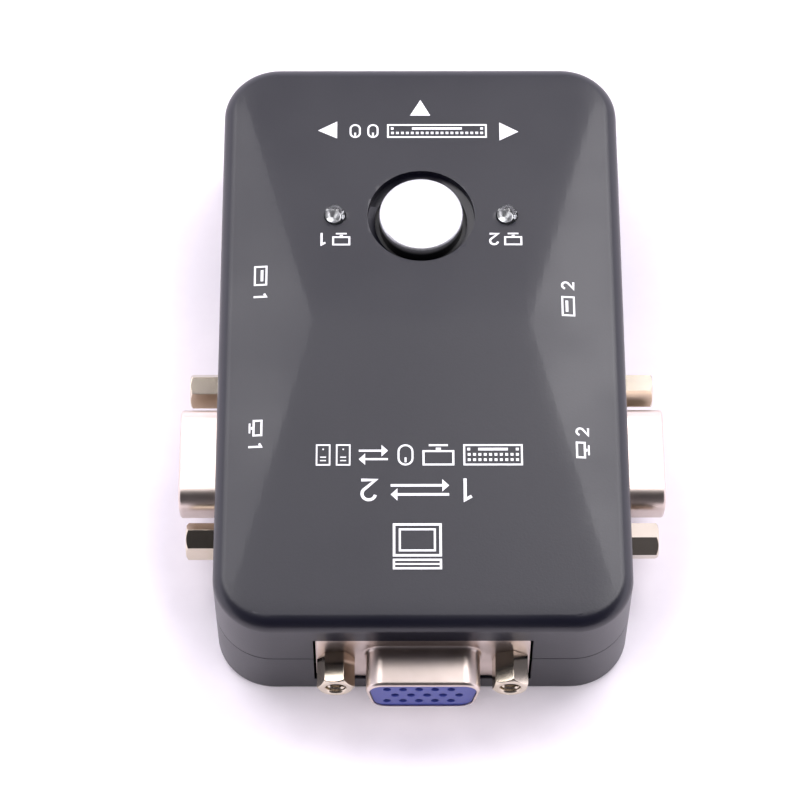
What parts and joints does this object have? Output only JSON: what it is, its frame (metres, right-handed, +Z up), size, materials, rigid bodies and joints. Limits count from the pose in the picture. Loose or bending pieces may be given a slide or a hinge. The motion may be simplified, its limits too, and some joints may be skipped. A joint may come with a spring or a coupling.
{
  "type": "kvm switch",
  "caption": "Flat rounded desktop switch box with a shallow faceted top, a round push button between indicator lights, and D-shell and USB sockets in its walls.",
  "frame": {"origin": "middle of the case's flat underside", "axes": "+Z up; -Y towards the monitor socket, +Y towards the console end; +X towards the second computer side"},
  "size_m": [0.0714, 0.1007, 0.0241],
  "materials": {
    "case": "moulded ABS, fine satin texture",
    "screw_steel": "black-nickel plated",
    "board": "solder mask over glass-epoxy",
    "silver_button": "satin silver coating",
    "black_plastic": "moulded black",
    "bright_steel": "tinned",
    "white_plastic": "moulded white",
    "clear_resin": "clear cast epoxy",
    "can_aluminium": "drawn can",
    "nickel_plate": "bright nickel plating",
    "blue_plastic": "moulded blue, satin",
    "gold_contact": "gold flash"
  },
  "bodies": {
    "case": {"top_shell": "case", "bottom_shell": "case", "case_screws": "screw_steel", "circuit_board": "board", "switch_body": "black_plastic", "switch_cover": "bright_steel", "switch_pins": "bright_steel", "led_1": "clear_resin", "led_2": "clear_resin", "led_leads": "bright_steel", "monitor_vga_shell": "nickel_plate", "monitor_vga_insulator": "blue_plastic", "monitor_vga_body": "blue_plastic", "monitor_vga_contacts": "gold_contact", "monitor_vga_brackets": "nickel_plate", "monitor_vga_jackscrews": "nickel_plate", "pc1_vga_shell": "nickel_plate", "pc1_vga_insulator": "blue_plastic", "pc1_vga_body": "blue_plastic", "pc1_vga_contacts": "gold_contact", "pc1_vga_brackets": "nickel_plate", "pc1_vga_jackscrews": "nickel_plate", "pc2_vga_shell": "nickel_plate", "pc2_vga_insulator": "blue_plastic", "pc2_vga_body": "blue_plastic", "pc2_vga_contacts": "gold_contact", "pc2_vga_brackets": "nickel_plate", "pc2_vga_jackscrews": "nickel_plate", "end_usb_shell": "nickel_plate", "end_usb_tongue": "white_plastic", "end_usb_contacts": "gold_contact", "left_usb_shell": "nickel_plate", "left_usb_tongue": "white_plastic", "left_usb_contacts": "gold_contact", "right_usb_shell": "nickel_plate", "right_usb_tongue": "white_plastic", "right_usb_contacts": "gold_contact", "pc1_usb_shell": "nickel_plate", "pc1_usb_insulator": "white_plastic", "pc1_usb_contacts": "gold_contact", "pc2_usb_shell": "nickel_plate", "pc2_usb_insulator": "white_plastic", "pc2_usb_contacts": "gold_contact", "controller_chip": "black_plastic", "switch_chips": "black_plastic", "chip_legs": "bright_steel", "crystal": "bright_steel", "capacitors": "can_aluminium", "resistors": "black_plastic"},
    "button": {"select_button": "silver_button", "switch_plunger": "white_plastic"}
  },
  "joints": [
    {"name": "button_press", "type": "slide", "parent": "case", "child": "button", "axis": [0, 0, -1], "range_m": [0, 0.001], "stiffness_N_per_m": 800, "springref_m": -0.0003}
  ]
}
